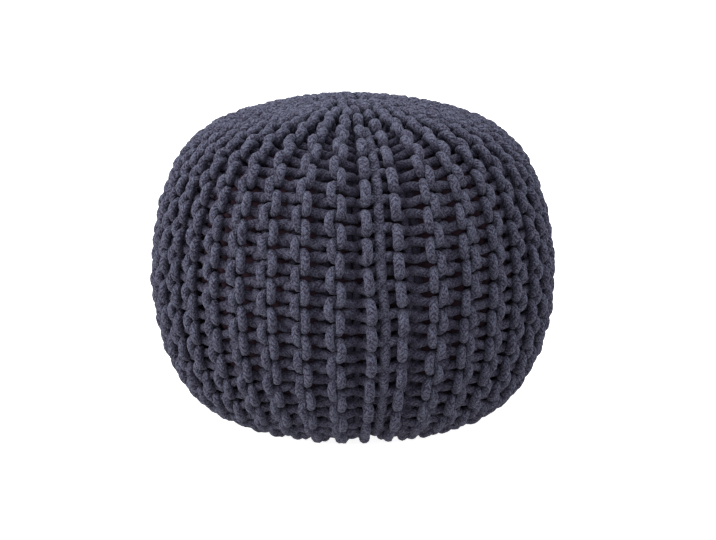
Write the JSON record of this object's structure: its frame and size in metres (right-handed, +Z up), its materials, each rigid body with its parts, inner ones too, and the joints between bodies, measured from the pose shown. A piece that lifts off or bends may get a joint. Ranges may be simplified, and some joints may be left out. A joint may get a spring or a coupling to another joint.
{
  "type": "knitted pouf",
  "caption": "Round firm floor pouf in a chunky garter-knit cord cover, with upright ridges, a drawn top, a flat base and one laced join.",
  "frame": {"origin": "middle of the flat base, on the surface that the pouf stands on", "axes": "+Z up through the drawn top; the laced join faces -Y, about 8 degrees towards +X"},
  "size_m": [0.4499, 0.4498, 0.3532],
  "materials": {
    "cover_cord": "Matt navy blue cotton cord about 10 mm thick, hand knitted in garter stitch",
    "lacing_cord": "The same matt navy blue cotton cord, laced between the first and the last row"
  },
  "bodies": {
    "root": {"knit_cover": "cover_cord", "seam_lacing": "lacing_cord"}
  },
  "joints": []
}
